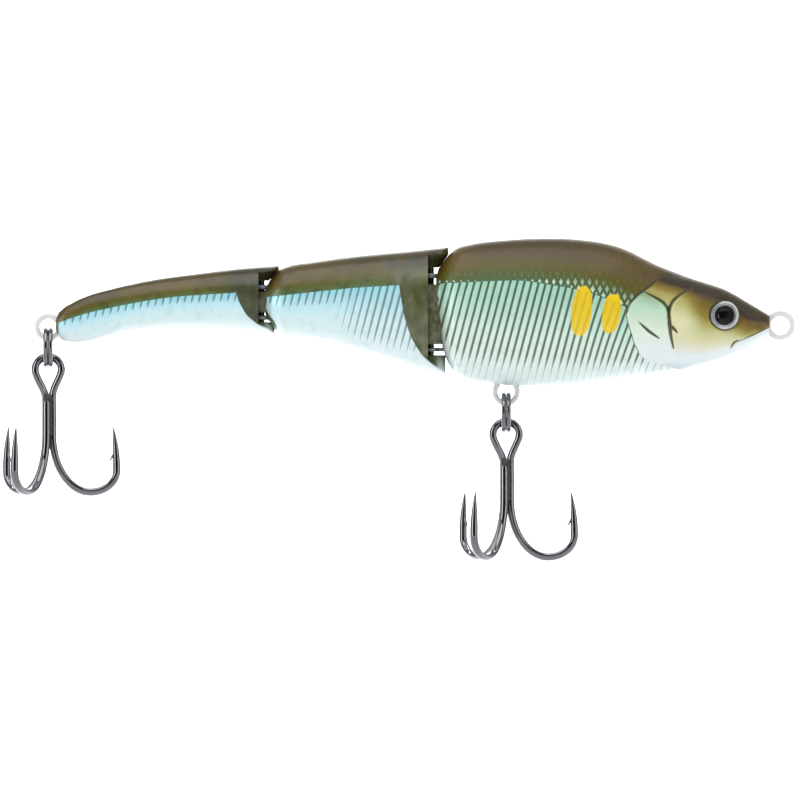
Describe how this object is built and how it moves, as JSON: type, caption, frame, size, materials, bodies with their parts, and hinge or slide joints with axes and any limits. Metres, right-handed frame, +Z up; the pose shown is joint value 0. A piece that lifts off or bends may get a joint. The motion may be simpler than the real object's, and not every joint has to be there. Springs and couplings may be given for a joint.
{
  "type": "swimbait",
  "caption": "Jointed swimbait: hollow plastic body segments hinged on upright pins, with a line tie at the nose and treble hooks on split rings.",
  "frame": {"origin": "centre of the line tie's hole at the nose", "axes": "+X from tail to nose, +Z up, +Y to the lure's left side as seen from behind with the nose ahead"},
  "size_m": [0.1394, 0.0241, 0.0566],
  "materials": {
    "painted_shell": "gloss clear coat over olive-brown fade",
    "smoked_shell": "smoked translucent plastic with olive-brown back",
    "foil": "pale blue-green reflective foil under clear coat, ribbed",
    "eye_disc": "black pupil in a silver ring",
    "eye_resin": "clear domed resin",
    "stainless": "light grey stainless steel",
    "ballast": "plain steel slug",
    "black_nickel": "black nickel plating"
  },
  "bodies": {
    "head": {"head_shell_left": "painted_shell", "head_shell_right": "painted_shell", "head_foil_left": "foil", "head_foil_right": "foil", "eye_left": "eye_disc", "eye_right": "eye_disc", "eye_dome_left": "eye_resin", "eye_dome_right": "eye_resin", "line_tie": "stainless", "belly_hanger": "stainless", "head_ballast": "ballast", "head_eyelet_upper": "stainless", "head_eyelet_lower": "stainless"},
    "middle": {"middle_shell_left": "smoked_shell", "middle_shell_right": "smoked_shell", "middle_foil_left": "foil", "middle_foil_right": "foil", "front_joint_pin": "stainless", "middle_eyelet_upper": "stainless", "middle_eyelet_lower": "stainless", "middle_ballast": "ballast"},
    "tail": {"tail_shell_left": "smoked_shell", "tail_shell_right": "smoked_shell", "tail_foil_left": "foil", "tail_foil_right": "foil", "rear_joint_pin": "stainless", "tail_hanger": "stainless", "tail_ballast": "ballast"},
    "belly_ring": {"belly_split_ring": "black_nickel"},
    "belly_treble": {"belly_treble_double": "black_nickel", "belly_treble_single": "black_nickel"},
    "tail_ring": {"tail_split_ring": "black_nickel"},
    "tail_treble": {"tail_treble_double": "black_nickel", "tail_treble_single": "black_nickel"}
  },
  "joints": [
    {"name": "front_joint", "type": "hinge", "parent": "head", "child": "middle", "pos_m": [-0.0613, 0, 0.002], "axis": [0, 0, 1], "range_deg": [-25, 25]},
    {"name": "rear_joint", "type": "hinge", "parent": "middle", "child": "tail", "pos_m": [-0.09105, 0, 0.004], "axis": [0, 0, 1], "range_deg": [-25, 25]},
    {"name": "belly_ring_swing", "type": "hinge", "parent": "head", "child": "belly_ring", "pos_m": [-0.0481, 0, -0.01368], "axis": [1, 0, 0], "range_deg": [-50, 50]},
    {"name": "belly_hook_swing", "type": "hinge", "parent": "belly_ring", "child": "belly_treble", "pos_m": [-0.0481, 0, -0.01847], "axis": [0, 1, 0], "range_deg": [-60, 60]},
    {"name": "tail_ring_swing", "type": "hinge", "parent": "tail", "child": "tail_ring", "pos_m": [-0.1285, 0, -0.00228], "axis": [1, 0, 0], "range_deg": [-50, 50]},
    {"name": "tail_hook_swing", "type": "hinge", "parent": "tail_ring", "child": "tail_treble", "pos_m": [-0.1285, 0, -0.00707], "axis": [0, 1, 0], "range_deg": [-60, 60]}
  ]
}
